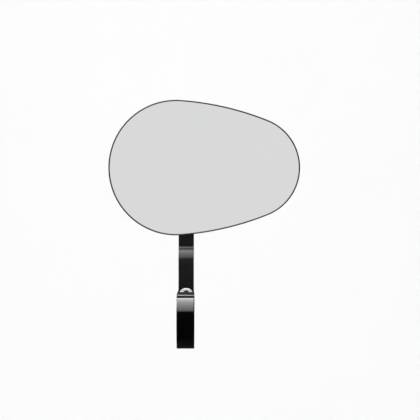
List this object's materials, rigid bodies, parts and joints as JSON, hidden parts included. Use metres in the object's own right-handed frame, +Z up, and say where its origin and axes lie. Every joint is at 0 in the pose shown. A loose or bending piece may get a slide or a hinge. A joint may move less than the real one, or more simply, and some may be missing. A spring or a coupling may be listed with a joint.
{
  "type": "bar-end mirror",
  "caption": "Clamp-on handlebar mirror: egg-shaped glass in a thin-rimmed shell on a ball joint, carried by a flat stepped arm from a narrow split band round the grip's end.",
  "frame": {"origin": "centre of the clamp bore, on the bar's axis, midway along the band", "axes": "+X along the bar towards its end, +Z up the arm, -Y the way the glass faces, towards the rider"},
  "size_m": [0.1151, 0.0449, 0.1492],
  "materials": {
    "satin_black": "satin",
    "gloss_black": "gloss",
    "black_aluminium": "satin",
    "bright_steel": "polished",
    "zinc_steel": "satin",
    "spring_steel": "satin",
    "acetal": "satin",
    "backing_plastic": "matte",
    "liner_rubber": "matte",
    "foam_tape": "matte",
    "mirror_glass": "polished"
  },
  "bodies": {
    "clamp_and_arm": {"clamp_band": "gloss_black", "grip_liner": "liner_rubber", "clamp_screw": "bright_steel", "clamp_washer": "zinc_steel", "barrel_nut": "zinc_steel", "arm": "satin_black", "ball_stud": "bright_steel", "stud_washer": "zinc_steel", "stud_nut": "zinc_steel"},
    "front_cup": {"front_ball_cup": "acetal"},
    "rear_cup": {"rear_ball_cup": "acetal"},
    "mirror_head": {"seat_disc": "spring_steel", "disc_spring": "spring_steel", "socket_cap": "black_aluminium", "socket_cap_screws": "zinc_steel", "mirror_housing": "black_aluminium", "backing_plate": "backing_plastic", "plate_screws": "zinc_steel", "adhesive_pad": "foam_tape", "mirror_glass": "mirror_glass"}
  },
  "joints": [
    {"name": "mirror_pan", "type": "hinge", "parent": "clamp_and_arm", "child": "front_cup", "pos_m": [0.00025, 0.0104, 0.09205], "axis": [0, 0, 1], "range_deg": [-20, 20]},
    {"name": "mirror_tilt", "type": "hinge", "parent": "front_cup", "child": "rear_cup", "pos_m": [0.00025, 0.0104, 0.09205], "axis": [1, 0, 0], "range_deg": [-14, 14]},
    {"name": "mirror_roll", "type": "hinge", "parent": "rear_cup", "child": "mirror_head", "pos_m": [0.00025, 0.0104, 0.09205], "axis": [0, 1, 0], "range_deg": [-30, 30]}
  ]
}
